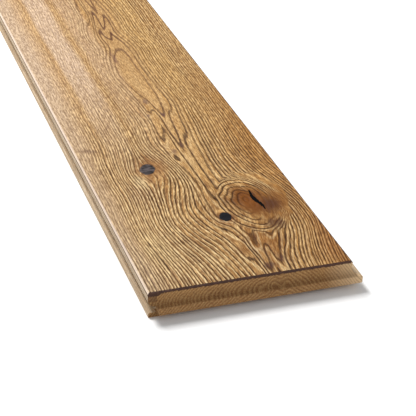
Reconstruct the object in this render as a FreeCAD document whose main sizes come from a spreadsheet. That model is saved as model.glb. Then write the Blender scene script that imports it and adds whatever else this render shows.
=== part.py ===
# Wide plank floorboard: one solid oak board with a tongue and a groove on its long sides and on its ends.
#
# The board is what two moulding cuts leave of one piece of timber. The first runs along the board and gives it
# the face, the bevels, the tongue on the right side, the groove on the left side and the relief channels in the
# back. The second runs across the ends and gives the near end the same tongue and the far end the same groove.
# What lies inside both outlines is the board.
#
# Frame: +X is the side with the tongue, +Y runs along the board to the grooved end, +Z is the walking face up.
# The origin is on the floor, in the middle of the board's reach with its tongues.

import FreeCAD
import Part
import Sketcher

import os

# Driving dimensions, in millimetres unless the name says otherwise.
SIZES = [
    # Board
    ("plank_length", 1200.0),
    ("face_width", 150.0),
    ("plank_thickness", 20.0),
    ("face_bevel", 1.2),
    # Tongue: a large cove runs from the shoulder into its top, and its underside is level
    ("tongue_reach", 6.0),
    ("face_to_tongue_root", 9.6),
    ("tongue_top_fall", 0.3),
    ("back_shoulder", 4.0),
    ("shoulder_undercut", 0.5),
    ("tongue_cove_radius", 4.0),
    ("tongue_tip_radius", 1.0),
    # Groove: the tongue's outline with room round it, under a nosed face lip
    ("joint_clearance", 0.2),
    ("groove_extra_depth", 0.6),
    ("face_lip_nose_radius", 3.3),
    ("groove_bottom_radius", 1.6),
    ("back_lip_setback", 0.5),
    ("back_lip_radius", 1.2),
    # Relief channels in the back
    ("channel_width", 16.0),
    ("channel_depth", 1.8),
    ("channel_pitch", 46.5),
    ("channel_count", 3),
    ("channel_radius", 0.6),
]

# The moulding cuts run past the board's ends and sides by this many tongue reaches, and meet nothing there.
CUT_OVERRUN = 4


def make_sheet(doc):
    """The spreadsheet that holds the driving dimensions, one alias a row."""
    sheet = doc.addObject("Spreadsheet::Sheet", "sizes")
    for row, (name, value) in enumerate(SIZES, start=1):
        sheet.set(f"A{row}", name)
        sheet.set(f"B{row}", str(value))
        sheet.setAlias(f"B{row}", name)
    doc.recompute()
    return sheet


def make_sketch(body, name, plane_role):
    """An empty sketch on one of the body's own origin planes."""
    sketch = body.newObject("Sketcher::SketchObject", name)
    for plane in body.Origin.OriginFeatures:
        if plane.Role == plane_role:
            sketch.AttachmentSupport = [(plane, "")]
    sketch.MapMode = "FlatFace"
    return sketch


def bind(sketch, constraint, expression):
    """Add a constraint and give its value an expression of the spreadsheet."""
    index = sketch.addConstraint(constraint)
    sketch.setExpression(f"Constraints[{index}]", expression)


def draw_outline(sketch, corners):
    """Draw a closed outline through corners, each (across, up, radius alias or None), as expressions."""
    count = len(corners)
    start_size = 10.0
    circle = Part.Circle(FreeCAD.Vector(0, 0, 0), FreeCAD.Vector(0, 0, 1), start_size)
    spread = circle.discretize(count + 1)
    for index in range(count):
        sketch.addGeometry(Part.LineSegment(spread[index], spread[index + 1]), False)
    for index in range(count):
        sketch.addConstraint(Sketcher.Constraint("Coincident", index, 2, (index + 1) % count, 1))
    for index, (across, up, _) in enumerate(corners):
        bind(sketch, Sketcher.Constraint("DistanceX", -1, 1, index, 1, start_size), across)
        bind(sketch, Sketcher.Constraint("DistanceY", -1, 1, index, 1, start_size), up)
    sketch.Document.recompute()

    # The corners are now in their places, and each one that the cutter leaves round gets its arc.
    middles = [(line.StartPoint + line.EndPoint) * 0.5 for line in sketch.Geometry]
    for index, (_, _, radius) in enumerate(corners):
        if radius is None:
            continue
        before = (index - 1) % count
        value = float(sketch.Document.sizes.get(radius))
        sketch.fillet(before, index, middles[before], middles[index], value, 1, True)
        arc = [number for number, edge in enumerate(sketch.Geometry)
               if isinstance(edge, Part.ArcOfCircle)][-1]
        bind(sketch, Sketcher.Constraint("Radius", arc, value), f"sizes.{radius}")
    sketch.Document.recompute()


def moulded_corners(half_span, tongue_side):
    """Corners of the board's moulded outline, from the face's tongue side round by the back.

    half_span is half the board's face in this direction, and tongue_side is 1 or -1, the way that the
    tongue points. The groove is on the other side and takes its levels from the tongue's.
    """
    face = "sizes.plank_thickness"
    bevel_foot = f"{face} - sizes.face_bevel"
    tongue_root = f"{face} - sizes.face_to_tongue_root"
    tongue_tip = f"{tongue_root} - sizes.tongue_top_fall"
    tongue_underside = "sizes.back_shoulder"
    groove_floor = "sizes.back_shoulder - sizes.joint_clearance"
    groove_end = "- sizes.tongue_reach - sizes.groove_extra_depth"

    def tongue(offset=""):
        return f"{tongue_side} * ({half_span} {offset})"

    def groove(offset=""):
        return f"{-tongue_side} * ({half_span} {offset})"

    return [
        (tongue("- sizes.face_bevel"), face, None),
        (tongue(), bevel_foot, None),
        (tongue("- sizes.shoulder_undercut"), tongue_root, "tongue_cove_radius"),
        (tongue("+ sizes.tongue_reach"), tongue_tip, "tongue_tip_radius"),
        (tongue("+ sizes.tongue_reach"), tongue_underside, "tongue_tip_radius"),
        (tongue(), tongue_underside, None),
        (tongue(), "0", None),
        (groove("- sizes.back_lip_setback"), "0", None),
        (groove("- sizes.back_lip_setback"), groove_floor, "back_lip_radius"),
        (groove(groove_end), groove_floor, "groove_bottom_radius"),
        (groove(groove_end), f"{tongue_tip} + sizes.joint_clearance", "groove_bottom_radius"),
        (groove(), f"{tongue_root} + sizes.joint_clearance", "face_lip_nose_radius"),
        (groove(), bevel_foot, None),
        (groove("- sizes.face_bevel"), face, None),
    ]


def make_moulding(doc, name, plane_role, half_span, tongue_side, cut_length):
    """A body that is the moulded outline, run both ways from the middle of the board."""
    body = doc.addObject("PartDesign::Body", name)
    outline = make_sketch(body, f"{name}_outline", plane_role)
    draw_outline(outline, moulded_corners(half_span, tongue_side))
    run = body.newObject("PartDesign::Pad", f"{name}_run")
    run.Profile = outline
    run.SideType = "Symmetric"
    run.setExpression("Length", cut_length)
    doc.recompute()
    return body


def cut_relief_channels(doc, body, plane_role):
    """The shallow channels along the back, which let the board lie flat as the timber moves."""
    half = "sizes.channel_width / 2"
    first = "(sizes.channel_count - 1) / 2 * sizes.channel_pitch"
    channel = make_sketch(body, "relief_channel_outline", plane_role)
    draw_outline(channel, [
        (f"-1 * {first} - {half}", "-1 * sizes.channel_depth", None),
        (f"-1 * {first} + {half}", "-1 * sizes.channel_depth", None),
        (f"-1 * {first} + {half}", "sizes.channel_depth", "channel_radius"),
        (f"-1 * {first} - {half}", "sizes.channel_depth", "channel_radius"),
    ])
    pocket = body.newObject("PartDesign::Pocket", "relief_channel")
    pocket.Profile = channel
    pocket.Type = "ThroughAll"
    pocket.SideType = "Symmetric"
    doc.recompute()

    row = body.newObject("PartDesign::LinearPattern", "relief_channels")
    row.Originals = [pocket]
    row.Direction = (channel, ["H_Axis"])
    row.Mode = "Spacing"
    row.setExpression("Offset", "sizes.channel_pitch")
    row.setExpression("Occurrences", "sizes.channel_count")
    body.Tip = row
    doc.recompute()


def make_plank(doc):
    """The board: what lies inside both the long moulding and the end moulding."""
    long_moulding = make_moulding(
        doc, "long_moulding", "XZ_Plane", "sizes.face_width / 2", 1,
        f"sizes.plank_length + {CUT_OVERRUN} * sizes.tongue_reach")
    full_volume = long_moulding.Shape.Volume
    cut_relief_channels(doc, long_moulding, "XZ_Plane")
    print("relief channels take", round(full_volume - long_moulding.Shape.Volume), "mm3")

    end_moulding = make_moulding(
        doc, "end_moulding", "YZ_Plane", "sizes.plank_length / 2", -1,
        f"sizes.face_width + {CUT_OVERRUN} * sizes.tongue_reach")

    plank = doc.addObject("Part::Common", "oak_plank")
    plank.Label = "oak_plank"
    plank.Base = long_moulding
    plank.Tool = end_moulding
    # The tongues stand out on one side and one end, so the board moves back by half their reach.
    plank.setExpression("Placement.Base.x", "sizes.tongue_reach / -2")
    plank.setExpression("Placement.Base.y", "sizes.tongue_reach / 2")
    doc.recompute()
    return plank


def check(doc, parts):
    """Stop if any object failed to build or a part is not one sound solid."""
    for item in doc.Objects:
        if "Invalid" in item.State or "Error" in item.State:
            raise RuntimeError(f"{item.Name} did not build: {item.State}")
    for part in parts:
        shape = part.Shape
        if shape.isNull() or not shape.isValid() or len(shape.Solids) != 1:
            raise RuntimeError(f"{part.Label} is not one valid solid")


def export(parts):
    """Write each part's shape to its own file, named by its label."""
    os.makedirs("parts", exist_ok=True)
    for part in parts:
        part.Shape.exportStep(f"parts/{part.Label}.step")
        box = part.Shape.BoundBox
        print(part.Label, "spans", [round(v, 3) for v in (box.XMin, box.XMax, box.YMin, box.YMax,
                                                          box.ZMin, box.ZMax)])
        print("volume", round(part.Shape.Volume), "mm3,", len(part.Shape.Faces), "faces")


def main():
    doc = FreeCAD.newDocument("wide_plank_floorboard")
    make_sheet(doc)
    parts = [make_plank(doc)]
    check(doc, parts)
    export(parts)


main()
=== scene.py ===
# %% [markdown]
# # A wide plank floorboard in brushed oak
# The object is one oak board, 1200 mm long, 150 mm wide on its face and 20 mm thick. Its face is brushed,
# stained golden brown and oiled. Its sides and ends are moulded with a tongue and a groove, and its back
# has three shallow relief channels. It is one piece of timber, so it is one mesh: what changes from place
# to place is the finish.

# %% Load the frame
import math

import bmesh
import bpy
import numpy as np
from mathutils import Matrix, Vector


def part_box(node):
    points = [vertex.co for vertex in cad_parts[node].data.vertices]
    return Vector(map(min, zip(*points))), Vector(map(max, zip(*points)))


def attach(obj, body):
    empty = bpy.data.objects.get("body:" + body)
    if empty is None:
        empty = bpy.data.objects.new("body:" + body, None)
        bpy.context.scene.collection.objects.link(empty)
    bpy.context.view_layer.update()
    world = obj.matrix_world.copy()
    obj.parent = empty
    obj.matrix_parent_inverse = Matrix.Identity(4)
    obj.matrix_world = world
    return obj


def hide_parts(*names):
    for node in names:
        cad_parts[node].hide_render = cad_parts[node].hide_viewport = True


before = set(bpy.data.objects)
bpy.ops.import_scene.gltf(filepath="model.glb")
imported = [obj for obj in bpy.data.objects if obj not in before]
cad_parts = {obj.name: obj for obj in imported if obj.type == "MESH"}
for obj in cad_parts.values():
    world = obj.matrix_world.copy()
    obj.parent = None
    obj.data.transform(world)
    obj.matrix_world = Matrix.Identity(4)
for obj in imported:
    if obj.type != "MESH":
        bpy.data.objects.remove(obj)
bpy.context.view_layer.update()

plank_low, plank_high = [Vector(corner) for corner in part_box("oak_plank")]

# %% [markdown]
# ## The camera
# A photograph's view can be found again from straight lines of known size. The board's two long edges and
# its near end are such lines, and they give the camera's place, its three turns and its focal length. A
# longer lens further back would show the far end wider, so the place and the lens belong together.

# %% Place the camera
# Lengths are in metres, and two places that are less than a hair apart count as one.
MM = 0.001
HAIR = 1e-6

camera_place = Vector((-298.5, -1306.8, 525.7)) * MM
pitch_down = math.radians(30.515)
turn_right = math.radians(20.162)
roll = math.radians(2.482)
sensor_width = 36.0
image_width = 416
focal_length_in_pixels = 1342.13

camera_data = bpy.data.cameras.new("studio_camera")
camera_data.sensor_width = sensor_width
camera_data.lens = focal_length_in_pixels * sensor_width / image_width
camera_data.clip_end = 20.0
camera = bpy.data.objects.new("studio_camera", camera_data)
bpy.context.scene.collection.objects.link(camera)
camera.matrix_world = (
    Matrix.Translation(camera_place)
    @ Matrix.Rotation(-turn_right, 4, "Z")
    @ Matrix.Rotation(math.pi / 2 - pitch_down, 4, "X")
    @ Matrix.Rotation(roll, 4, "Z")
)
bpy.context.scene.camera = camera
print("lens", round(camera_data.lens, 1), "mm")

# %% [markdown]
# ## Nodes and colours
# A material is a small network of nodes. One helper adds any node, sets it and feeds its sockets, so that
# the recipes below stay short. Colours are given as sRGB hex values, and Blender works in linear light,
# so each goes through one conversion.


# %% Helpers for colours and nodes
def linear(hex_colour):
    """A colour that Blender can use, from sRGB hex digits."""
    channels = [int(hex_colour[i:i + 2], 16) / 255 for i in (0, 2, 4)]
    return [c / 12.92 if c <= 0.04045 else ((c + 0.055) / 1.055) ** 2.4 for c in channels] + [1.0]


def add(tree, kind, inputs=None, output=None, stops=None, **settings):
    """Add one node with its settings and links, and return its first output, or the one that is named.

    Inputs are named or numbered, and hold a value or another node's output. Stops are (place, brightness).
    """
    node = tree.nodes.new("ShaderNode" + kind)
    for name, value in settings.items():
        setattr(node, name, value)
    for key, value in (inputs or {}).items():
        if isinstance(key, str):
            socket = next(s for s in node.inputs if s.enabled and s.name == key)
        else:
            socket = node.inputs[key]
        if isinstance(value, bpy.types.NodeSocket):
            tree.links.new(value, socket)
        else:
            socket.default_value = value
    if stops:
        ramp = node.color_ramp
        ramp.interpolation = "EASE"
        while len(ramp.elements) < len(stops):
            ramp.elements.new(1.0)
        for element, (position, brightness) in zip(ramp.elements, stops):
            element.position = position
            element.color = (brightness, brightness, brightness, 1.0)
    shown = [s for s in node.outputs if s.enabled and output in (None, s.name)]
    return shown[0] if shown else None


print("helpers ready")

# %% [markdown]
# ## The outline of the moulding
# A four-sided planer cuts the board's sides and ends with shaped knives. The tongue side has a bevel, an
# undercut shoulder, a cove and a round-tipped tongue. The groove side has the same bevel, a round nose
# over the groove, and a lip under it that stands back by half a millimetre. Each outline is a few
# corners, and some of them get a radius, which is how a knife is drawn too. Offsets go outward from the
# face's edge, and heights go up from the back.

# %% Corners of the two mouldings, in millimetres
plank_thickness = 20.0
face_bevel = 1.2
tongue_reach = 6.0
tongue_top = 10.4
tongue_top_fall = 0.3
tongue_underside = 4.0
shoulder_undercut = 0.5
joint_clearance = 0.2
groove_depth = 6.6
lip_setback = 0.5

bevel_foot = plank_thickness - face_bevel
groove_roof = tongue_top - tongue_top_fall + joint_clearance
groove_floor = tongue_underside - joint_clearance

# Each corner is (offset, height, radius).
tongue_corners = [
    (-face_bevel, plank_thickness, 0.0),
    (0.0, bevel_foot, 0.0),
    (-shoulder_undercut, tongue_top, 4.0),
    (tongue_reach, tongue_top - tongue_top_fall, 1.0),
    (tongue_reach, tongue_underside, 1.0),
    (0.0, tongue_underside, 0.0),
    (0.0, 0.0, 0.0),
]
groove_corners = [
    (-face_bevel, plank_thickness, 0.0),
    (0.0, bevel_foot, 0.0),
    (0.0, tongue_top + joint_clearance, 3.3),
    (-groove_depth, groove_roof, 1.6),
    (-groove_depth, groove_floor, 1.6),
    (-lip_setback, groove_floor, 1.2),
    (-lip_setback, 0.0, 0.0),
]
print("corners:", len(tongue_corners), "tongue,", len(groove_corners), "groove")


# %% Round the corners
def rounded(corners, turn_of_a_step=math.radians(22.5)):
    """The outline through the corners, with an arc of short lines where a corner has a radius."""
    points = []
    for index, (offset, height, radius) in enumerate(corners):
        corner = Vector((offset, height))
        if not radius:
            points.append(corner)
            continue
        to_before = (Vector(corners[index - 1][:2]) - corner).normalized()
        to_after = (Vector(corners[index + 1][:2]) - corner).normalized()
        half_angle = to_before.angle(to_after) / 2
        centre = corner + (to_before + to_after).normalized() * radius / math.sin(half_angle)
        first = corner + to_before * radius / math.tan(half_angle) - centre
        last = corner + to_after * radius / math.tan(half_angle) - centre
        turn = first.angle_signed(last)
        steps = max(2, round(abs(turn) / turn_of_a_step))
        for step in range(steps + 1):
            angle = -turn * step / steps
            arm = Vector((
                first.x * math.cos(angle) - first.y * math.sin(angle),
                first.x * math.sin(angle) + first.y * math.cos(angle),
            ))
            points.append(centre + arm)
    return points


def offsets_at(outline, height, nearly=1e-4):
    """The outline's first and last offset at a height: they differ only where it runs level."""
    met = [point.x for point in outline if abs(point.y - height) < nearly]
    if met:
        return met[0], met[-1]
    for upper, lower in zip(outline, outline[1:]):
        if upper.y > height > lower.y:
            share = (upper.y - height) / (upper.y - lower.y)
            return (upper.x + share * (lower.x - upper.x),) * 2
    raise ValueError(f"the outline has no point at {height}")


tongue_outline = rounded(tongue_corners)
groove_outline = rounded(groove_corners)
print("outline points:", len(tongue_outline), "tongue,", len(groove_outline), "groove")

# %% [markdown]
# ## The board's body
# Every level section of the board, from the face down to the relief channels, is a plain rectangle: only
# its sides move in and out with the outline. So the body starts as a flat grid for the face, and its rim
# is extruded down one level at a time, resized and shifted to the next rectangle. A profile swept round
# the board would need mitred corners, and this way the tongues and grooves meet at the corners by
# themselves, as the cutters leave them.

# %% Start with the face as a grid
face_low = plank_low + Vector((0.0, tongue_reach, 0.0)) * MM
face_high = plank_high - Vector((tongue_reach, 0.0, 0.0)) * MM
face_level = plank_thickness * MM
columns = 62
rows = 70


def rectangle(tongue_offset, groove_offset):
    """The low and high corner of a level section, from the two outlines' offsets in millimetres."""
    low = Vector((face_low.x - groove_offset * MM, face_low.y - tongue_offset * MM))
    high = Vector((face_high.x + tongue_offset * MM, face_high.y + groove_offset * MM))
    return low, high


bpy.ops.object.select_all(action="DESELECT")
bpy.ops.mesh.primitive_grid_add(x_subdivisions=columns, y_subdivisions=rows, size=1.0, location=(0, 0, 0))
plank = bpy.context.object
plank.name = "brushed_oak_plank"
section_low, section_high = rectangle(-face_bevel, -face_bevel)
section_size = section_high - section_low
section_middle = (section_high + section_low) / 2
bpy.ops.object.mode_set(mode="EDIT")
bpy.ops.mesh.select_all(action="SELECT")
bpy.ops.transform.resize(value=(section_size.x, section_size.y, 1.0))
bpy.ops.transform.translate(value=(section_middle.x, section_middle.y, face_level))
bpy.ops.object.mode_set(mode="OBJECT")
print("face grid:", len(plank.data.polygons), "faces")

# %% Draw the rows together towards the near end
# The camera sees the finest detail there, so the first rows lie at this share of their even distance.
near_row_share = 0.5

for vertex in plank.data.vertices:
    share = (vertex.co.y - section_low.y) / section_size.y
    share = near_row_share * share + (1 - near_row_share) * share ** 2
    vertex.co.y = section_low.y + share * section_size.y
print("first row in mm:", round(near_row_share * section_size.y / rows / MM, 1))

# %% Extrude the rim down through the levels
channel_depth = 1.8
heights = {round(point.y, 4) for point in tongue_outline + groove_outline}
levels = sorted((height for height in heights if height > channel_depth), reverse=True)
levels.append(channel_depth)
sections = []
for height in levels:
    tongue_pair = offsets_at(tongue_outline, height)
    groove_pair = offsets_at(groove_outline, height)
    sections.append((height, tongue_pair[0], groove_pair[0]))
    if tongue_pair[0] != tongue_pair[1] or groove_pair[0] != groove_pair[1]:
        sections.append((height, tongue_pair[1], groove_pair[1]))

bpy.ops.object.mode_set(mode="EDIT")
bpy.ops.mesh.select_mode(type="EDGE")
bpy.ops.mesh.select_all(action="DESELECT")
bpy.ops.mesh.select_non_manifold(
    use_wire=False, use_multi_face=False, use_non_contiguous=False, use_verts=False)
for (height, *offsets), (next_height, *next_offsets) in zip(sections, sections[1:]):
    low, high = rectangle(*offsets)
    next_low, next_high = rectangle(*next_offsets)
    size, next_size = high - low, next_high - next_low
    middle, next_middle = (high + low) / 2, (next_high + next_low) / 2
    bpy.ops.mesh.extrude_edges_move()
    bpy.ops.transform.resize(
        value=(next_size.x / size.x, next_size.y / size.y, 1.0),
        center_override=(middle.x, middle.y, height * MM),
    )
    shift = next_middle - middle
    bpy.ops.transform.translate(value=(shift.x, shift.y, (next_height - height) * MM))
print("sections:", len(sections))

# %% [markdown]
# ## The back
# The last rim is filled with a grid. The relief channels are then what is left when the lands between
# them are extruded down to the floor, which keeps every channel's roof at one level.

# %% Fill the back
mesh = bmesh.from_edit_mesh(plank.data)
rim = [vertex for vertex in mesh.verts if vertex.select]
corner = min(rim, key=lambda v: v.co.x + v.co.y)
mesh.select_history.clear()
mesh.select_history.add(corner)
bpy.ops.mesh.fill_grid(span=columns, offset=0)


def select_faces(wanted):
    """Select the faces that the test wants, and nothing else."""
    mesh = bmesh.from_edit_mesh(plank.data)
    bpy.ops.mesh.select_mode(type="FACE")
    for face in mesh.faces:
        face.select_set(bool(wanted(face)))
    mesh.select_flush_mode()
    bmesh.update_edit_mesh(plank.data)
    return sum(face.select for face in mesh.faces)


def on_the_back(face):
    """Whether a face lies level at the channels' roof."""
    return all(abs(v.co.z - channel_depth * MM) < HAIR for v in face.verts)


print("back faces:", select_faces(on_the_back))

# %% Cut along the channels' walls and lower the lands
channel_width = 16.0
channel_pitch = 46.5
channel_count = 3

face_middle = (face_low.x + face_high.x) / 2
middle_channel = (channel_count - 1) / 2
channel_middles = [face_middle + (n - middle_channel) * channel_pitch * MM for n in range(channel_count)]
channel_walls = [middle + side * channel_width * MM / 2 for middle in channel_middles for side in (-1, 1)]

for wall in channel_walls:
    select_faces(on_the_back)
    bpy.ops.mesh.bisect(plane_co=(wall, 0, 0), plane_no=(1, 0, 0), threshold=HAIR)


def on_a_land(face):
    """Whether a face of the back lies between two channels, or outside them."""
    middle = face.calc_center_median().x
    in_a_channel = any(abs(middle - channel) < channel_width * MM / 2 for channel in channel_middles)
    return on_the_back(face) and not in_a_channel


print("land faces:", select_faces(on_a_land))
bpy.ops.mesh.extrude_region_move(TRANSFORM_OT_translate={"value": (0, 0, -channel_depth * MM)})


# %% Round the channels' corners and close the mesh
def select_edges(wanted):
    """Select the edges that the test wants, and nothing else."""
    mesh = bmesh.from_edit_mesh(plank.data)
    bpy.ops.mesh.select_mode(type="EDGE")
    bpy.ops.mesh.select_all(action="DESELECT")
    for edge in mesh.edges:
        if wanted(edge):
            edge.select_set(True)
    bmesh.update_edit_mesh(plank.data)
    return sum(edge.select for edge in mesh.edges)


def in_a_channel_corner(edge):
    """Whether an edge runs where a channel's wall meets its roof."""
    at_wall = any(all(abs(v.co.x - wall) < HAIR for v in edge.verts) for wall in channel_walls)
    return at_wall and all(abs(v.co.z - channel_depth * MM) < HAIR for v in edge.verts)


# The knife that cuts the channels has slightly rounded corners.
channel_radius = 0.6
print("corner edges:", select_edges(in_a_channel_corner))
bpy.ops.mesh.bevel(offset=channel_radius * MM, segments=2, affect="EDGES")

bpy.ops.mesh.select_all(action="SELECT")
bpy.ops.mesh.remove_doubles(threshold=1e-7)
bpy.ops.mesh.normals_make_consistent(inside=False)
bpy.ops.mesh.select_all(action="DESELECT")
bpy.ops.mesh.select_non_manifold()
mesh = bmesh.from_edit_mesh(plank.data)
print("open edges:", sum(edge.select for edge in mesh.edges))
print("volume in mm3:", round(mesh.calc_volume() / MM ** 3))
bpy.ops.object.mode_set(mode="OBJECT")

# %% [markdown]
# ## The grain
# A board is sawn through the tree's growth rings, and its figure is where the rings come to the surface:
# nested arches in the middle, where the saw ran level with the rings, and straight lines beside them,
# where it cut across. So the grain isn't drawn. One function gives the number of rings between any point
# and the heart line, and every whole number is a line. It rises away from the middle, rises and falls
# along the board as the tree swelled and narrowed, goes round the knots and drops with depth, which also
# gives the arched lines of the end grain. It stands on a second function, which gives the way of the
# fibres: they part at a knot like water at a stone.


# %% Curves, mounds and waves
def smooth_curve(points, at):
    """A smooth curve through a few points, read at many places."""
    places, values = np.array(points, float).T
    slopes = np.gradient(values, places)
    at = np.clip(at, places[0], places[-1])
    index = np.clip(np.searchsorted(places, at) - 1, 0, len(places) - 2)
    step = places[index + 1] - places[index]
    t = (at - places[index]) / step
    return (
        (2 * t ** 3 - 3 * t ** 2 + 1) * values[index]
        + (t ** 3 - 2 * t ** 2 + t) * step * slopes[index]
        + (3 * t ** 2 - 2 * t ** 3) * values[index + 1]
        + (t ** 3 - t ** 2) * step * slopes[index + 1]
    )


def mound(x, y, middle_x, middle_y, left, right, reach_y):
    """A smooth mound, 1 at its middle and near 0 beyond its reach."""
    reach_x = np.where(x < middle_x, left, right)
    return np.exp(-((x - middle_x) / reach_x) ** 2 - ((y - middle_y) / reach_y) ** 2)


def waves(x, y, table):
    """A sum of small waves. Each is (size, millimetres a radian across and along the board, start)."""
    return sum(size * np.sin(x / across + y / along + start) for size, across, along, start in table)


print("halfway up a curve:", float(smooth_curve([(0, 0), (2, 1)], 1.0)))

# %% The way of the fibres, in millimetres from the board's own origin
# Round a knot the fibres part: (x, y, half width to the left and right, half length, share).
fibres_part = [(-29, -436, 15, 15, 26, 0.72), (5.7, -516.5, 9, 9, 13, 0.60)]

# Elsewhere they bow sideways: (x, y, half width to the left and right, half length, millimetres).
fibres_bow = [
    (-30, -520, 36, 30, 48, -13.0), (-55, -440, 26, 26, 40, -3.0), (-14, -398, 14, 14, 24, -4.0),
    (-10, -460, 16, 14, 24, 4.0), (46, -512, 26, 60, 48, 18.0),
]

# And nowhere are they quite straight.
fibre_waves = [(0.60, 60.0, 38.0, 0.0), (0.25, 22.0, 15.0, 1.3), (0.12, -9.0, 6.1, 0.0)]


def fibre_way(x, y):
    """Which fibre passes through a point: its place across the board if nothing had bent it."""
    way = np.array(x, float)
    for place_x, place_y, left, right, half_length, share in fibres_part:
        way -= (x - place_x) * share * mound(x, y, place_x, place_y, left, right, half_length)
    for *place, bow in fibres_bow:
        way -= bow * mound(x, y, *place)
    return way + waves(x, y, fibre_waves)


print("the fibre at x = -20 beside the left knot:", round(float(fibre_way(-20.0, -436.0)), 1))

# %% The heart line
# Where the heart line runs across the board, as (y, x).
heart_middle = 10.0
heart_reach = 45.0
heart_along = [
    (-640, 18), (-587, 18), (-548, 18), (-500, 10), (-455, 8.5), (-430, 8.5), (-403, 9.3), (-347, 10.7),
    (-322, 10.5), (-295, 8.5), (-262, 6), (-230, 8.5), (-206, 12.5), (-168, 10), (-130, 14), (-60, 12),
    (100, 2), (260, -6), (420, -2), (640, 6),
]


def from_the_heart(x, y):
    """How many millimetres of wood lie between a point and the heart line, to the left or right."""
    across = fibre_way(x, y) - heart_middle
    bend = smooth_curve(heart_along, y) - heart_middle
    return across - bend * np.exp(-(across / heart_reach) ** 2)


print("from the heart line to the middle of the face:", round(float(from_the_heart(0.0, 0.0)), 1), "mm")

# %% The branch in the big knot
# The branch's own rings: their middle, and how wide one is to the left, right, near and far side.
branch_middle = (29.0, -497.0)
branch_left, branch_right, branch_near, branch_far = 3.9, 3.7, 7.8, 5.6
branch_start = -2.65
branch_pith = 0.2
branch_waves = [(0.12, 2.4, 7.0, 0.0), (0.10, 2.5, 3.1, 0.0)]

# The branch's wood stops after so many rings, and its age climbs steeply from there.
branch_rings = 4.95
branch_end_slope = 0.6


def branch_age(x, y):
    """The ring lines of the branch: rounds about its middle that stop where its wood does."""
    side = (x - branch_middle[0]) / np.where(x < branch_middle[0], branch_left, branch_right)
    end = (y - branch_middle[1]) / np.where(y < branch_middle[1], branch_near, branch_far)
    away = np.sqrt(side ** 2 + end ** 2 + branch_pith) + waves(x, y, branch_waves)
    return branch_start + away + branch_end_slope * np.clip(away - branch_rings, 0, None) ** 2


print("the branch's age at its middle:", round(float(branch_age(*branch_middle)), 2))

# %% How the tree swelled and narrowed, as (y, size)
# How far the face lies from the tree's heart line, in rings.
swell_middle = 3.5
swell_reach = 40.0
swell_along = [
    (-640, 6.2), (-587, 5.3), (-548, 4.16), (-530, 3.8), (-505, 3.2), (-480, 2.85), (-455, 2.8), (-430, 2.75),
    (-403, 2.6), (-375, 2.1), (-347, 1.6), (-322, 0.51), (-295, 0.1), (-262, -0.35), (-230, 0.2),
    (-206, 1.0), (-168, 2.16), (-130, 3.1), (-90, 3.8), (-40, 4.2), (20, 3.6), (80, 2.6), (150, 1.7),
    (230, 1.3), (300, 1.9), (360, 3.1), (420, 4.2), (500, 5.0), (560, 4.6), (640, 3.9),
]

# Where the saw ran level with the rings, the lines stand further apart round the heart line.
softness_reach = 50.0
softness_along = [
    (-640, 14), (-548, 13), (-500, 6), (-455, 8), (-430, 12), (-403, 18), (-347, 20), (-322, 18), (-295, 16),
    (-262, 16), (-206, 14), (-168, 14), (-100, 12), (640, 10),
]

# The heart line isn't round but fluted, and each flute draws its own row of tips.
flute_spacing = 11.5
flute_middle = -4.5
flute_reach = 13.0
flute_depth_along = [
    (-640, 0.6), (-540, 0.6), (-510, 0.3), (-480, 0.0), (-455, -0.3), (-430, -0.45), (-403, -0.6),
    (-347, -0.6), (-322, -0.5), (-295, -0.1), (-262, 0.0), (-206, 0.1), (-168, 0.6), (-60, 0.5), (640, 0.5),
]
print("rings under the face at the spindle:", float(smooth_curve(swell_along, -262.0)))

# %% The age of the rings at any point
ring_width = 3.5
ring_thickness = 3.0
outer_rings_gain = 7.0
outer_rings_reach = 90.0

# Some years were good and some were bad, so the rings aren't equally wide.
uneven_years = 0.14

# The lines run in ripples near the end, right of the middle.
ripples = [(0.10, 1.9, 11.0, 0.0), (0.10, -4.0, 3.7, 2.0)]
ripples_place = (18, -555, 16, 22, 32)

# A swirl moves the lines by some rings: (x, y, half width to the left and right, half length, rings).
swirls = [(-2, -423, 5, 5, 9, -0.7)]

# The age never falls below this, so the heart line itself draws no line.
lowest_age = 0.3

# How sharply the branch's rings join the board's own.
join_sharpness = 5.0


def ring_age(x, y, depth):
    """How many rings lie between a point and the heart line. Whole numbers are the lines of the figure."""
    across = from_the_heart(x, y)
    softness = smooth_curve(softness_along, y)
    middle = np.exp(-(across / softness_reach) ** 2)
    age = (np.sqrt(across ** 2 + softness ** 2) - softness * middle) / ring_width
    age += outer_rings_gain * (across / outer_rings_reach) ** 2
    age += swell_middle + (smooth_curve(swell_along, y) - swell_middle) * np.exp(-(across / swell_reach) ** 2)
    near_flutes = np.exp(-((across - flute_middle) / flute_reach) ** 2)
    age += smooth_curve(flute_depth_along, y) * np.cos(2 * np.pi * across / flute_spacing) * near_flutes
    age += uneven_years * (np.sin(1.9 * age) + np.sin(0.83 * age + 1.0)) * (1 - near_flutes)
    age += waves(x, y, ripples) * mound(x, y, *ripples_place)
    for *place, rings in swirls:
        age += rings * mound(x, y, *place)
    age = np.maximum(age, lowest_age)
    age = -np.logaddexp(-join_sharpness * age, -join_sharpness * branch_age(x, y)) / join_sharpness
    return age - depth / ring_thickness


print("rings at the middle of the face:", round(float(ring_age(0.0, 0.0, 0.0)), 2))

# %% How wide the rings are, and where their pores lie
# A slope is measured between points this far to either side, in millimetres.
nudge = 0.25

# The saw runs nearly level with a ring where the gap is wider than this, and there the line is wider too.
widest_gap = 7.0

# A ring as thin as the first has no row of large pores at all, and it takes the second for a full row.
thinnest_ring = 0.9
thin_ring = 1.9

# How far the worn pores reach past a ring line and before it. Real grooves are narrower, but a finer one
# would fall between the mesh's vertices.
pores_past = 0.85
pores_before = 0.70


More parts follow.
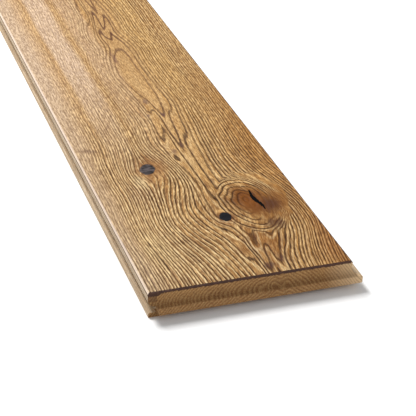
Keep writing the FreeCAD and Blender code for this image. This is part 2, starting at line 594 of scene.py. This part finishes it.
def ring_gap(x, y, depth):
    """How many millimetres apart the ring lines are at a point, on the surface that shows them."""
    across = (ring_age(x + nudge, y, depth) - ring_age(x - nudge, y, depth)) / (2 * nudge)
    along = (ring_age(x, y + nudge, depth) - ring_age(x, y - nudge, depth)) / (2 * nudge)
    down = np.where(depth > 1e-3, 1 / ring_thickness, 0.0)
    return np.minimum(1 / np.sqrt(across ** 2 + along ** 2 + down ** 2 + 1e-9), widest_gap)


def early_wood(age, gap):
    """1 in the row of large pores that each ring starts with, and less in rings too thin for such a row."""
    part = age % 1.0
    row = np.exp(-(part * gap / pores_past) ** 2) + np.exp(-((1 - part) * gap / pores_before) ** 2)
    return row * np.clip((gap - thinnest_ring) / (thin_ring - thinnest_ring), 0, 1)


print("the rings in the middle of the face are", round(float(ring_gap(0.0, 0.0, 0.0)), 1), "mm apart")

# %% [markdown]
# ## The brushed relief
# Steel brushes wear the soft early wood away, so every ring line on the face is a shallow groove. They
# are real geometry here: the face alone is subdivided, to three or four vertices a ring, and the grooves
# are pressed into it by the ring function. Bump alone would shade them, but it would leave the mesh flat.
# The pores between are far finer and are left to the material's bump. So are the few places where the
# lines slant too much for the rows of the mesh to follow.

# %% Subdivide the face
cuts_across = 2
cuts_along = 5


def on_the_face(edge):
    """Whether an edge lies level on the face."""
    return all(abs(v.co.z - face_level) < HAIR for v in edge.verts)


def runs_along(edge):
    """Whether an edge of the face runs along the board."""
    return on_the_face(edge) and abs(edge.verts[0].co.x - edge.verts[1].co.x) < HAIR


def runs_across(edge):
    """Whether an edge of the face runs across the board."""
    return on_the_face(edge) and abs(edge.verts[0].co.y - edge.verts[1].co.y) < HAIR


bpy.ops.object.mode_set(mode="EDIT")
print("edges along:", select_edges(runs_along))
bpy.ops.mesh.subdivide(number_cuts=cuts_along)
print("edges across:", select_edges(runs_across))
bpy.ops.mesh.subdivide(number_cuts=cuts_across)
bpy.ops.object.mode_set(mode="OBJECT")

# %% The knots and the crack
# The two small knots, too dense for the brush: (x, y, half width, half length).
small_knots = [(-29, -433, 7.0, 9.6), (5.7, -516.5, 5.4, 7.2)]

# The big knot has dried and opened: (x, y) of the crack's middle, its size, and how it leans and winds.
crack_place = (36.5, -498.5)
crack_half_width = 1.7
crack_half_length = 16.0
crack_depth = 1.1
crack_lean = 1.5
crack_wave = 0.9
crack_wave_length = 4.1


def crack(x, y):
    """1 in the middle of the crack in the big knot, and 0 outside it."""
    along = (y - crack_place[1]) / crack_half_length
    middle = crack_place[0] + crack_wave * np.sin(y / crack_wave_length) - crack_lean * along
    width = crack_half_width * np.clip(1 - along ** 2, 0, 1) ** 1.5 + 1e-3
    return np.clip(1 - ((x - middle) / width) ** 2, 0, 1) * (np.abs(along) < 1)


print("the crack is", 2 * crack_half_length, "mm long")

# %% Measure the wood at every vertex
heart_figure_reach = 17.0

count = len(plank.data.vertices)
places = np.empty(count * 3)
plank.data.vertices.foreach_get("co", places)
places = places.reshape(count, 3)
x, y, z = places.T / MM
depth = plank_thickness - z
measures = {
    "ring_age": ring_age(x, y, depth),
    "ring_gap": ring_gap(x, y, depth),
    "fibre_way": fibre_way(x, y),
    "near_heart": np.exp(-(from_the_heart(x, y) / heart_figure_reach) ** 2),
    "crack": crack(x, y),
}
for name, values in measures.items():
    plank.data.attributes.new(name, "FLOAT", "POINT").data.foreach_set("value", values)
print("measured vertices:", count)

# %% Press the grooves in
worn_depth = 0.40

# Lines that slant so much that they move on by this share of a ring from row to row aren't pressed in.
most_slant = 0.4
slant_fade = 0.25

row_share = np.clip((y * MM - section_low.y) / section_size.y, 0, 1)
even_row = section_size.y / MM / (rows * (cuts_along + 1))
row_step = even_row * (near_row_share + (1 - near_row_share) * 2 * row_share)
slope_along = (ring_age(x, y + nudge, depth) - ring_age(x, y - nudge, depth)) / (2 * nudge)
held = np.clip((most_slant - row_step * np.abs(slope_along)) / slant_fade, 0, 1)
wear = worn_depth * early_wood(measures["ring_age"], measures["ring_gap"]) * held
for knot_x, knot_y, half_width, half_length in small_knots:
    wear = wear * (1 - np.exp(-(((x - knot_x) / half_width) ** 2 + ((y - knot_y) / half_length) ** 2) ** 2))
wear = np.maximum(wear, crack_depth * measures["crack"])
on_top = depth < 1e-3
places[on_top, 2] -= wear[on_top] * MM
plank.data.vertices.foreach_set("co", places.ravel())
plank.data.update()
bpy.ops.object.shade_smooth_by_angle(angle=math.radians(40))
triangles = sum(len(face.vertices) - 2 for face in plank.data.polygons)
print("face vertices:", int(on_top.sum()), "triangles in all:", triangles)

# %% [markdown]
# ## Patterns that follow the wood
# Every finish of the board shows the same wood, so the patterns are made once. The mesh carries what was
# measured at each vertex: the age and the width of the rings, the way of the fibres and the distance from
# the heart line. A pattern that reads them bends round a knot as real fibres do, which a pattern laid
# over the whole board can't.


# %% Streaks along the fibres
def new_material(name):
    """An empty material, with its node tree and its surface shader."""
    material = bpy.data.materials.new(name)
    material.use_nodes = True
    tree = material.node_tree
    return material, tree, tree.nodes["Principled BSDF"]


def fibre_noise(tree, across, along, contrast, seed):
    """Streaks along the fibres, so many millimetres wide and long, from 0 to 1. Less contrast is softer."""
    way = add(tree, "Attribute", attribute_name="fibre_way", output="Fac")
    place = add(tree, "TexCoord", output="Object")
    split = add(tree, "SeparateXYZ", {"Vector": place}).node
    vector = add(tree, "CombineXYZ", {
        "X": add(tree, "Math", {0: way, 1: 1 / across}, operation="MULTIPLY"),
        "Y": add(tree, "Math", {0: split.outputs["Y"], 1: 1 / (along * MM)}, operation="MULTIPLY"),
        "Z": add(tree, "Math", {0: split.outputs["Z"], 1: 1 / (across * MM)}, operation="MULTIPLY"),
    })
    noise = add(tree, "TexNoise", {"Vector": vector, "W": seed, "Scale": 1.0, "Detail": 2.0},
                noise_dimensions="4D")
    half_range = 0.5 * (1 - contrast)
    return add(tree, "MapRange", {
        "Value": noise, "From Min": 0.5 - half_range, "From Max": 0.5 + half_range,
    }, interpolation_type="SMOOTHSTEP")


print("streaks ready")

# %% Ring lines and the crests beside them
# Two sizes of raggedness, the pores' and the fibres': (width, length, share, seed).
ragged_edges = [(1.6, 22, 0.6, 3.0), (0.9, 5, 0.4, 14.0)]

# In rings thinner than this the lines get thinner too.
full_line_gap = 2.7

# The ramps of a line run over this many millimetres, and the lines are wider near the heart line.
ramp_span = 4.0
thinner_lines = 1.1
wider_at_the_heart = 0.40


def ring_lines(tree, raggedness):
    """The ring lines, 1 in a ring's pores, and the crest beside each line, 1 in its hard wood."""
    age = add(tree, "Attribute", attribute_name="ring_age", output="Fac")
    gap = add(tree, "Attribute", attribute_name="ring_gap", output="Fac")
    near_heart = add(tree, "Attribute", attribute_name="near_heart", output="Fac")

    # The lines are ragged, and less so near the heart line.
    reach = add(tree, "Math", {0: near_heart, 1: -0.7 * raggedness, 2: raggedness}, operation="MULTIPLY_ADD")
    for width, length, share, seed in ragged_edges:
        ragged = fibre_noise(tree, width, length, 0.2, seed=seed)
        ragged = add(tree, "Math", {0: ragged, 1: share, 2: -share / 2}, operation="MULTIPLY_ADD")
        age = add(tree, "Math", {0: ragged, 1: reach, 2: age}, operation="MULTIPLY_ADD")

    # How far a point lies past the last line and before the next one.
    part = add(tree, "Math", {0: age}, operation="FRACT")
    line_gap = add(tree, "Math", {0: gap, 1: full_line_gap}, operation="MAXIMUM")
    past = add(tree, "Math", {0: part, 1: line_gap}, operation="MULTIPLY")
    to_come = add(tree, "Math", {0: line_gap, 1: past}, operation="SUBTRACT")
    narrow = add(tree, "Math", {
        0: near_heart, 1: -wider_at_the_heart / ramp_span, 2: thinner_lines / ramp_span,
    }, operation="MULTIPLY_ADD")
    past = add(tree, "Math", {0: past, 1: narrow}, operation="MULTIPLY")
    to_come = add(tree, "Math", {0: to_come, 1: narrow}, operation="MULTIPLY")
    behind = add(tree, "ValToRGB", {"Fac": past}, stops=[(0.0, 1.0), (0.14, 1.0), (0.30, 0.0)])
    ahead = add(tree, "ValToRGB", {"Fac": to_come}, stops=[(0.0, 1.0), (0.11, 0.0)])
    line = add(tree, "Math", {0: behind, 1: ahead}, operation="MAXIMUM")
    crest = add(tree, "ValToRGB", {"Fac": past}, stops=[(0.26, 0.0), (0.38, 1.0), (0.46, 1.0), (0.62, 0.0)])

    # Each year's row of pores has its own strength, and the thinnest rings have none.
    ring_number = add(tree, "Math", {0: age}, operation="FLOOR")
    strength = add(tree, "TexWhiteNoise", {"W": ring_number}, noise_dimensions="1D")
    strength = add(tree, "Math", {0: strength, 1: 0.25, 2: 0.75}, operation="MULTIPLY_ADD")
    clear = add(tree, "MapRange", {"Value": gap, "From Min": thinnest_ring, "From Max": thin_ring})
    strength = add(tree, "Math", {0: strength, 1: clear}, operation="MULTIPLY")
    line = add(tree, "Math", {0: line, 1: strength}, operation="MULTIPLY")
    crest = add(tree, "Math", {0: crest, 1: clear}, operation="MULTIPLY")
    return line, crest


print("ring lines ready")


# %% Oval places, and one colour over another
def near_place(tree, x, y, half_width, half_length, turn, raggedness, stops):
    """An oval place on the face: the stops give its strength from its middle, 0, to its ragged edge, 1."""
    place = add(tree, "TexCoord", output="Object")
    local = add(tree, "Mapping", {
        "Vector": place,
        "Location": (x * MM, y * MM, face_level),
        "Rotation": (0.0, 0.0, math.radians(turn)),
        "Scale": (half_width * MM, half_length * MM, 1.0),
    }, vector_type="TEXTURE")
    away = add(tree, "VectorMath", {0: local}, operation="LENGTH")
    ragged = add(tree, "TexNoise", {"Vector": local, "Scale": 1.6, "Detail": 4.0})
    ragged = add(tree, "Math", {0: ragged, 1: raggedness, 2: -raggedness / 2}, operation="MULTIPLY_ADD")
    away = add(tree, "Math", {0: away, 1: ragged})
    return add(tree, "ValToRGB", {"Fac": away}, stops=stops)


def lay_over(tree, colour, layers):
    """Lay colours over a colour, each by its share: the way that a finish is built up from the wood."""
    for share, amount, tint in layers:
        share = add(tree, "Math", {0: share, 1: amount}, operation="MULTIPLY")
        tint = linear(tint) if isinstance(tint, str) else tint
        colour = add(tree, "Mix", {"Factor": share, "A": colour, "B": tint}, data_type="RGBA")
    return colour


print("patterns ready")

# %% [markdown]
# ## Brushed, stained and oiled oak
# Stain soaks into open wood and hardly into dense wood, so the worn grooves turn dark brown and the
# ridges stay golden. An oil finish leaves the wood's own gloss, low and uneven, and not the clear film of
# a lacquer. The colour is built up in layers: the stained wood and its streaks first, then the stains
# round the knots, then the pores and the ring lines, which are darkest, and the knots themselves last.
# Ticks and pores of real oak are 0.1 to 0.3 mm wide. They are drawn two to four times as wide, since
# finer ones don't show in the render.

# %% Streaks, ticks and pores of the stained wood
pattern_reach = 80.0

brushed_oak, tree, shader = new_material("brushed_stained_oiled_oak")
place = add(tree, "TexCoord", output="Object")
along = add(tree, "SeparateXYZ", {"Vector": place}, output="Y")
way = add(tree, "Attribute", attribute_name="fibre_way", output="Fac")
across = add(tree, "MapRange", {"Value": way, "From Min": -pattern_reach, "From Max": pattern_reach})
near_heart = add(tree, "Attribute", attribute_name="near_heart", output="Fac")

broad = fibre_noise(tree, 22, 160, 0.66, seed=1.0)
clouds = fibre_noise(tree, 9, 26, 0.66, seed=15.0)
streaks = fibre_noise(tree, 1.3, 34, 0.66, seed=2.0)
ticks = fibre_noise(tree, 1.1, 8, 0.70, seed=5.0)
pores = fibre_noise(tree, 0.65, 5, 0.74, seed=4.0)
flecks = fibre_noise(tree, 0.9, 7, 0.72, seed=21.0)
lines, crests = ring_lines(tree, 0.55)
print("pattern nodes:", len(tree.nodes))

# %% Sides and lanes
# The left side is paler, partly as a painted sheen, and the right side browner. A grey lane along the left
# edge is pale partly as a painted sheen too. Away from the near end, pale lanes run along the left side and a
# golden one along the right side, and the right side is hardly browner any more.
pale_left_and_sheen, right_side, edge, lanes, golden_lane = [
    add(tree, "ValToRGB", {"Fac": across}, stops=stops) for stops in (
        [(0.0, 1.0), (0.45, 0.0)],
        [(0.55, 0.0), (1.0, 1.0)],
        [(0.0, 1.0), (0.06, 0.9), (0.15, 0.0)],
        [(0.06, 0.7), (0.11, 0.4), (0.17, 0.1), (0.20, 0.9), (0.29, 0.9), (0.34, 0.1), (0.39, 0.45),
         (0.47, 0.45), (0.51, 0.0)],
        [(0.60, 0.0), (0.68, 1.0), (0.77, 1.0), (0.86, 0.0)],
    )
]
far_part = add(tree, "MapRange", {"Value": along, "From Min": -0.44, "From Max": -0.24})
lanes = add(tree, "Math", {0: lanes, 1: far_part}, operation="MULTIPLY")
golden_lane = add(tree, "Math", {0: golden_lane, 1: far_part}, operation="MULTIPLY")
less_far = add(tree, "Math", {0: far_part, 1: -0.85, 2: 1.0}, operation="MULTIPLY_ADD")
right_side = add(tree, "Math", {0: right_side, 1: less_far}, operation="MULTIPLY")

# The wood is calmer in the pale lanes, and round the heart line past the knots.
past_the_knots = add(tree, "MapRange", {"Value": along, "From Min": -0.47, "From Max": -0.42})
calm = add(tree, "Math", {0: near_heart, 1: past_the_knots}, operation="MULTIPLY")
calm = add(tree, "Math", {0: calm, 1: -0.6, 2: 1.0}, operation="MULTIPLY_ADD")
calm = add(tree, "Math", {0: lanes, 1: -0.35, 2: calm}, operation="MULTIPLY_ADD")
ticks = add(tree, "Math", {0: ticks, 1: calm}, operation="MULTIPLY")

# Partly painted sheen: the left side and the lane along the left edge are laid over paler.
colour = lay_over(tree, linear("DAAC6E"), [
    (broad, 0.70, "B28042"),
    (clouds, 0.40, "A0703A"),
    (streaks, 0.60, "EAC890"),
    (ticks, 0.78, "74461A"),
    (pale_left_and_sheen, 0.50, "D4AC7E"),
    (right_side, 0.60, "B8761E"),
    (lanes, 0.68, "DEC8B6"),
    (golden_lane, 0.35, "E6B870"),
    (flecks, 0.18, "ECC27A"),
    (edge, 0.50, "C8B298"),
])
print("wood nodes:", len(tree.nodes))

# %% The stains, and the paler places between them
# Each place is (x, y, half width, half length, turn, strength, colour).
soft_edge = [(0.25, 1.0), (1.0, 0.0)]
stained_places = [
    (44, -504, 32, 40, 0, 0.80, "78460F"),
    (28, -494, 18, 24, 0, 0.90, "703E0C"),
    (18, -560, 28, 38, 0, 0.55, "86501C"),
    (-44, -470, 17, 24, 0, 0.45, "8C664A"),
    (-28, -550, 22, 26, 0, 0.45, "80562E"),
    (-20, -606, 90, 34, 0, 0.35, "86582A"),
    (-25, -430, 20, 32, -15, 0.70, "8E5E34"),
    (-28, -414, 15, 17, 0, 0.50, "8C643C"),
    (-40, -425, 12, 12, 0, 0.30, "7E5A3E"),
    (6, -519, 11, 15, 0, 0.60, "8A5028"),
    (-66, -392, 10, 5, -20, 0.50, "7E5E4A"),
    (-33, -475, 14, 24, 0, 0.35, "86603A"),
    (74, -570, 26, 60, 0, 0.50, "8A4C1E"),
    (72, -470, 14, 60, 0, 0.25, "8A5424"),
    (-60, -585, 20, 14, 0, 0.25, "7A5436"),
]
pale_places = [
    (-55, -545, 14, 34, 8, 0.45, "E8C88E"),
    (48, -472, 1.8, 27, 23, 0.50, "F0CC90"),
    (53, -466, 1.3, 24, 23, 0.45, "F0CC90"),
    (43, -480, 1.2, 20, 23, 0.40, "F0CC90"),
    (-40, -450, 8, 14, 12, 0.60, "ECCF9C"),
    (10, -440, 8, 30, 0, 0.45, "D2A566"),
]
colour = lay_over(tree, colour, [
    (near_place(tree, *oval, 0.8, soft_edge), strength, tint)
    for *oval, strength, tint in stained_places + pale_places
])
print("places:", len(stained_places), "stained,", len(pale_places), "pale")

# %% How deep the brush went
# The brushing went deepest at the near end. Further on it shows mostly in the figure round the heart line.
brushing = add(tree, "MapRange", {
    "Value": along, "From Min": -0.30, "From Max": -0.43, "To Min": 0.72, "To Max": 1.0})
far_left = add(tree, "MapRange", {"Value": across, "From Min": 0.50, "From Max": 0.40})
far_left = add(tree, "Math", {0: far_left, 1: far_part}, operation="MULTIPLY")
brushing = add(tree, "Math", {0: far_left, 1: -0.45, 2: brushing}, operation="MULTIPLY_ADD")

# The lines and crests fade in the lane along the left edge, where a sheen is painted, less so at the very
# end.
past_the_end = add(tree, "MapRange", {
    "Value": along, "From Min": -0.58, "From Max": -0.50, "To Min": -0.15, "To Max": -0.60})
off_the_edge = add(tree, "Math", {0: edge, 1: past_the_end, 2: 1.0}, operation="MULTIPLY_ADD")
brushing = add(tree, "Math", {0: brushing, 1: off_the_edge}, operation="MULTIPLY")
brushing = add(tree, "Math", {0: brushing, 1: near_heart}, operation="MAXIMUM")

# It left every line a little broken.
broken = fibre_noise(tree, 1.5, 9, 0.5, seed=11.0)
broken = add(tree, "Math", {0: broken, 1: 0.30, 2: 0.70}, operation="MULTIPLY_ADD")
brushing = add(tree, "Math", {0: brushing, 1: broken}, operation="MULTIPLY")

# Round a knot the wood is too dense for it: (x, y, half width, half length, turn, raggedness, stops).
dense_wood = [
    (41, -510, 21, 24, -8, 0.5, [(0.45, 0.20), (1.0, 1.0)]),
    (-26, -436, 17, 27, -15, 0.8, [(0.40, 0.35), (1.0, 1.0)]),
] + [(*oval, 0, 0.3, [(0.7, 0.0), (1.1, 1.0)]) for oval in small_knots]
for oval in dense_wood:
    brushing = add(tree, "Math", {0: brushing, 1: near_place(tree, *oval)}, operation="MULTIPLY")
lines = add(tree, "Math", {0: lines, 1: brushing}, operation="MULTIPLY")
crests = add(tree, "Math", {0: crests, 1: brushing}, operation="MULTIPLY")
print("places too dense for the brush:", len(dense_wood))

# %% The crests, the pores and the ring lines
# The heart figure further on was hardly brushed: its lines are thin and purple brown, without crests.
smooth_heart = add(tree, "Math", {0: near_heart, 1: far_part}, operation="MULTIPLY")
rough_wood = add(tree, "Math", {0: smooth_heart, 1: -0.9, 2: 1.0}, operation="MULTIPLY_ADD")
crests = add(tree, "Math", {0: crests, 1: rough_wood}, operation="MULTIPLY")

# The crests are cream at the near left and golden or dull elsewhere, most of all round the big knot. The
# cream is partly the paler hard wood and partly a painted highlight on the brushed ridges.
crest_highlight_share = add(tree, "MapRange", {
    "Value": along, "From Min": -0.44, "From Max": -0.56, "To Min": 0.80, "To Max": 1.0})
crest_highlight_share = add(tree, "Math", {0: right_side, 1: -0.9, 2: crest_highlight_share}, operation="MULTIPLY_ADD")
crest_highlight_share = add(tree, "Math", {0: near_heart, 1: -0.5, 2: crest_highlight_share}, operation="MULTIPLY_ADD")
crest_highlight_share = add(tree, "Math", {0: crest_highlight_share, 1: 0.20}, operation="MAXIMUM")
round_the_knot = near_place(tree, 32, -502, 26, 36, 0, 0.4, [(0.6, 0.0), (1.1, 1.0)])
crest_highlight_share = add(tree, "Math", {0: crest_highlight_share, 1: round_the_knot}, operation="MULTIPLY")
crests = add(tree, "Math", {0: crests, 1: crest_highlight_share}, operation="MULTIPLY")
line_colour = lay_over(tree, linear("2C1203"), [(smooth_heart, 1.0, "4E2B22")])
# Partly painted highlight: the crests are laid over in cream.
colour = lay_over(tree, colour, [
    (smooth_heart, 0.60, "BA9464"),
    (crests, 0.85, "F6DCA8"),
    (pores, 0.58, "583010"),
    (lines, 1.0, line_colour),
])
print("nodes up to the ring lines:", len(tree.nodes))

# %% The dark places, and the knots
# A knot is the dark, dense end of a branch. The two small ones were dead and are nearly black, with a
# stained rim. The big one is sound and has opened in a crack, and the wood to its right is dark.
dark_places = [
    (43, -508, 14, 16, -10, 0.85, "4E2C1A"),
    (38, -535, 11, 10, 0, 0.75, "50301E"),
    (32, -502, 13, 18, 0, 0.60, "7A4515"),
    (14, -586, 7, 5, 0, 0.60, "4A2E28"),
    (25, -579, 3.5, 8, 0, 0.60, "4A2E28"),
    (20, -536, 6, 4, 0, 0.40, "55341E"),
    (0, -410, 3.5, 7, -10, 0.60, "5E4038"),
    (9.0, -401, 2.5, 8, 0, 0.45, "5E4038"),
    (1.6, -226, 3, 22, 0, 0.50, "664642"),
    (3.4, -318, 3.5, 8, 0, 0.65, "5A3C3C"),
    (10.6, -345, 3, 6, 0, 0.60, "5A3C3C"),
    (-1.6, -344, 2.5, 5, 0, 0.55, "5A3C3C"),
    (31, -512, 10, 16, 0, 0.45, "6A3E18"),
    (-65, -393, 9, 3, -25, 0.30, "6E5448"),
]
colour = lay_over(tree, colour, [
    (near_place(tree, *oval, 0.8, soft_edge), strength, tint)
    for *oval, strength, tint in dark_places
])
knots = [(*small_knots[0], -17, "6A6060"), (*small_knots[1], -8, "1C1D24")]
rim = [(0.80, 1.0), (1.30, 0.0)]
sharp_edge = [(0.78, 1.0), (0.92, 0.0)]
knot_grain = fibre_noise(tree, 1.3, 3, 0.4, seed=9.0)
for *oval, tint in knots:
    heart_of_knot = lay_over(tree, linear("08070A"), [(knot_grain, 0.8, tint)])
    colour = lay_over(tree, colour, [
        (near_place(tree, *oval, 0.5, rim), 0.75, "4A2D1A"),
        (near_place(tree, *oval, 0.5, sharp_edge), 1.0, heart_of_knot),
    ])
print("dark places:", len(dark_places), "small knots:", len(knots))

# %% The painted highlight on the left edge, and the crack's painted shade
# A highlight is painted pale all along the left edge and its bevel, where they face the lamp. Measured
# from the edge in millimetres, the highlight is full up to the first place and gone at the second.
highlight_full = 0.8
highlight_fades = 1.6
from_left = add(tree, "SeparateXYZ", {"Vector": place}, output="X")
left_edge_highlight = add(tree, "MapRange", {
    "Value": from_left,
    "From Min": face_low.x + highlight_fades * MM,
    "From Max": face_low.x + highlight_full * MM,
})
# Painted shade: the crack is painted nearly black, for the shade deep inside it.
opening = add(tree, "Attribute", attribute_name="crack", output="Fac")
opening = add(tree, "ValToRGB", {"Fac": opening}, stops=[(0.02, 0.0), (0.20, 1.0)])
# Painted highlight: the left edge is laid over in pale cream.
colour = lay_over(tree, colour, [
    (left_edge_highlight, 0.75, "E8D4C2"),
    (opening, 1.0, "060507"),
])
tree.links.new(colour, shader.inputs["Base Color"])
print("colour nodes:", len(tree.nodes))

# %% Gloss and the finest relief
# Oil and wood both have an IOR of about 1.5, which is the shader's own. The gloss is low, as the brushed
# pores swallow much of it, and there is none at all in the crack.
oiled_roughness = 0.58
crack_roughness = 0.35
pore_depth = 0.30

roughness = add(tree, "Math", {0: opening, 1: crack_roughness, 2: oiled_roughness}, operation="MULTIPLY_ADD")
tree.links.new(roughness, shader.inputs["Roughness"])
shader.inputs["Specular IOR Level"].default_value = 0.08
height = add(tree, "Math", {0: lines, 1: -0.7, 2: 1.0}, operation="MULTIPLY_ADD")
height = add(tree, "Math", {0: pores, 1: -0.3, 2: height}, operation="MULTIPLY_ADD")
bump = add(tree, "Bump", {"Strength": 1.0, "Distance": pore_depth * MM, "Height": height})
tree.links.new(bump, shader.inputs["Normal"])
print("face nodes:", len(tree.nodes))

# %% [markdown]
# ## Freshly planed oak
# The long sides and the back were planed after the face was finished or never stained, so they keep the
# colour of new oak, a pale straw brown. The rings show as fine brown lines, and the planed wood is quite
# rough to the light. A little of the face's stain has run down the sides and left a dark line under the
# bevel. The finish reads the same rings and fibres as the face's, so the grain runs on round the edge, as
# a picture of wood wrapped round the board would not.

# %% The planed sides and back
raw_oak, tree, shader = new_material("planed_raw_oak")
lines = ring_lines(tree, 0.16)[0]
place = add(tree, "TexCoord", output="Object")
level = add(tree, "SeparateXYZ", {"Vector": place}, output="Z")
under_the_bevel = add(tree, "MapRange", {"Value": level, "From Min": 17.2 * MM, "From Max": 17.8 * MM})
colour = lay_over(tree, linear("C6AE8C"), [
    (fibre_noise(tree, 8, 90, 0.6, seed=10.0), 0.6, "AE9068"),
    (fibre_noise(tree, 1.0, 30, 0.6, seed=6.0), 0.5, "DACAB0"),
    (fibre_noise(tree, 0.5, 6, 0.74, seed=4.0), 0.35, "86694A"),
    (lines, 0.40, "7A5C3C"),
    (under_the_bevel, 0.95, "5C3E26"),
])
tree.links.new(colour, shader.inputs["Base Color"])
shader.inputs["Roughness"].default_value = 0.7
print("raw nodes:", len(tree.nodes))

# %% [markdown]
# ## End grain
# Across the ends the saw cuts the fibres, so they drink more light and look darker than the sides. The
# rings cross the end as arched lines, with the cut pores as fine dots, drawn at 0.7 mm so that they show.
# The arches need no pattern of their own, because the ring function counts depth as well: each line of
# the face goes on down the end. Towards the tongue on the right the end is painted lighter, a painted
# light, and under the cove it is darker, partly as painted shade. The stain of the face has run a little
# over the top edge, and further down at the left corner. The end of the lip beside the groove is darker.

# %% Where the end grain is stained or pale
end_grain_oak, tree, shader = new_material("sawn_oak_end_grain")
place = add(tree, "TexCoord", output="Object")
split = add(tree, "SeparateXYZ", {"Vector": place}).node
wave = fibre_noise(tree, 1.6, 1.6, 0.5, seed=12.0)
level = add(tree, "Math", {0: wave, 1: 1.0 * MM, 2: split.outputs["Z"]}, operation="MULTIPLY_ADD")
corner = add(tree, "MapRange", {
    "Value": split.outputs["X"], "From Min": -68.0 * MM, "From Max": -70.0 * MM})
level = add(tree, "Math", {0: corner, 1: 1.6 * MM, 2: level}, operation="MULTIPLY_ADD")
run_stain = add(tree, "MapRange", {"Value": level, "From Min": 18.6 * MM, "From Max": 18.9 * MM})
# Painted light: the end is laid over lighter towards the tongue on the right.
painted_light_to_the_right = add(tree, "MapRange", {
    "Value": split.outputs["X"], "From Min": 50.0 * MM, "From Max": 76.0 * MM})
# Partly painted shade: the end is laid over darker under the cove.
cove_band_and_shade = add(tree, "MapRange", {
    "Value": split.outputs["Z"], "From Min": 13.5 * MM, "From Max": 10.5 * MM})
above_the_mouth = add(tree, "Math", {0: split.outputs["Z"], 1: 12.5 * MM}, operation="GREATER_THAN")
over_the_groove = add(tree, "Math", {0: split.outputs["X"], 1: -71.4 * MM}, operation="LESS_THAN")
lip_end = add(tree, "Math", {0: above_the_mouth, 1: over_the_groove}, operation="MULTIPLY")
print("end grain places:", len(tree.nodes), "nodes")

# %% The colours of the end grain
lines, crests = ring_lines(tree, 0.12)
colour = lay_over(tree, linear("B2844C"), [
    (fibre_noise(tree, 9, 9, 0.5, seed=13.0), 0.7, "966634"),
    (cove_band_and_shade, 0.35, "7A4C1E"),
    (crests, 0.30, "CBA26A"),
    (fibre_noise(tree, 0.7, 0.7, 0.6, seed=7.0), 0.62, "5C3412"),
    (fibre_noise(tree, 1.1, 0.8, 0.66, seed=17.0), 0.25, "D8B47C"),
    (painted_light_to_the_right, 0.72, "E6C79C"),
    (lines, 0.45, "623812"),
    (lip_end, 0.55, "4E3018"),
    (run_stain, 0.90, "3A1D12"),
])
tree.links.new(colour, shader.inputs["Base Color"])
shader.inputs["Roughness"].default_value = 0.85
print("end grain nodes:", len(tree.nodes))

# %% [markdown]
# ## Stained bevels
# The bevels were brushed and stained with the face. Their wood is cut across the fibres at the ends, and
# so it took the stain deepest there: nearly the brown of coffee. At 1.2 mm wide they show no figure, so
# two browns in streaks are enough. The bevel on the left has the face's own finish instead, so that the
# painted highlight of the left edge lies on it.

# %% The stain on the bevels
stained_bevel, tree, shader = new_material("stained_oak_bevel")
colour = lay_over(tree, linear("36180A"), [
    (fibre_noise(tree, 3.0, 20, 0.4, seed=8.0), 1.0, "4E2A14"),
])
tree.links.new(colour, shader.inputs["Base Color"])
shader.inputs["Roughness"].default_value = 0.6
print("bevel nodes:", len(tree.nodes))

# %% Give the faces their finish
for material in (brushed_oak, stained_bevel, raw_oak, end_grain_oak):
    plank.data.materials.append(material)
FACE, BEVEL, SIDE, END = range(4)

# End grain shows past the near end's shoulder and in the whole groove of the far end.
bevel_foot_level = bevel_foot * MM
near_end = face_low.y + (shoulder_undercut + 0.2) * MM
far_end = face_high.y - (groove_depth + 0.1) * MM
past_the_shoulder = -2 * shoulder_undercut * MM
leans_left = -0.35
mostly = 0.5

for face in plank.data.polygons:
    lowest = min(plank.data.vertices[index].co.z for index in face.vertices)
    faces_an_end = abs(face.normal.y) > mostly
    in_the_end_groove = (
        face.center.y > far_end and abs(face.normal.x) < mostly and lowest > channel_depth * MM)
    # The side tongue runs on to the corner, where it meets the end tongue at 45 degrees.
    on_the_side_tongue = face.center.x - face_high.x > max(face_low.y - face.center.y, past_the_shoulder)
    if lowest > bevel_foot_level + HAIR:
        face.material_index = FACE
    elif lowest > bevel_foot_level - HAIR:
        # The left bevel takes the face's finish, so that the painted highlight of the left edge lies on it
        # too.
        face.material_index = FACE if face.normal.x < leans_left else BEVEL
    elif on_the_side_tongue and face.center.y < near_end and not faces_an_end:
        face.material_index = SIDE
    elif face.center.y < near_end or in_the_end_groove or faces_an_end:
        face.material_index = END
    else:
        face.material_index = SIDE
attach(plank, "root")
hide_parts("oak_plank")
print("finishes:", [material.name for material in plank.data.materials])

# %% [markdown]
# ## The studio
# The board lies on a wide pale floor. A lamp behind it on the left lights the face and throws the shadow
# to the right and towards the camera. It is a wide square, because a small lamp would give the shadow a
# hard edge. A weak one at the front right lights the near end, and the white surroundings fill the rest.

# %% The floor
bpy.ops.object.select_all(action="DESELECT")
bpy.ops.mesh.primitive_plane_add(size=12.0, location=(0, 0, 0))
floor = bpy.context.object
floor.name = "studio_floor"
paper, tree, shader = new_material("matt_white_paper")
shader.inputs["Base Color"].default_value = linear("F4F4F4")
shader.inputs["Roughness"].default_value = 0.9
shader.inputs["Specular IOR Level"].default_value = 0.1
floor.data.materials.append(paper)
print("floor:", floor.name)


# %% The lamps and the surroundings
def soft_lamp(name, place, size, power, target=(0.0, -0.4, 0.0)):
    """A square lamp that points at the board."""
    data = bpy.data.lights.new(name, "AREA")
    data.size = size
    data.energy = power
    lamp = bpy.data.objects.new(name, data)
    bpy.context.scene.collection.objects.link(lamp)
    lamp.location = place
    lamp.rotation_euler = (Vector(target) - Vector(place)).to_track_quat("-Z", "Y").to_euler()
    return lamp


soft_lamp("back_left_lamp", (-0.6, 1.0, 1.9), 0.8, 74.0)
soft_lamp("right_front_lamp", (1.3, -1.7, 0.9), 1.0, 9.0)
bpy.context.scene.view_settings.view_transform = "Standard"
world = bpy.context.scene.world or bpy.data.worlds.new("studio")
bpy.context.scene.world = world
world.use_nodes = True
background = world.node_tree.nodes["Background"]
background.inputs["Color"].default_value = linear("FFFFFF")
background.inputs["Strength"].default_value = 0.35
print("surroundings:", world.name)
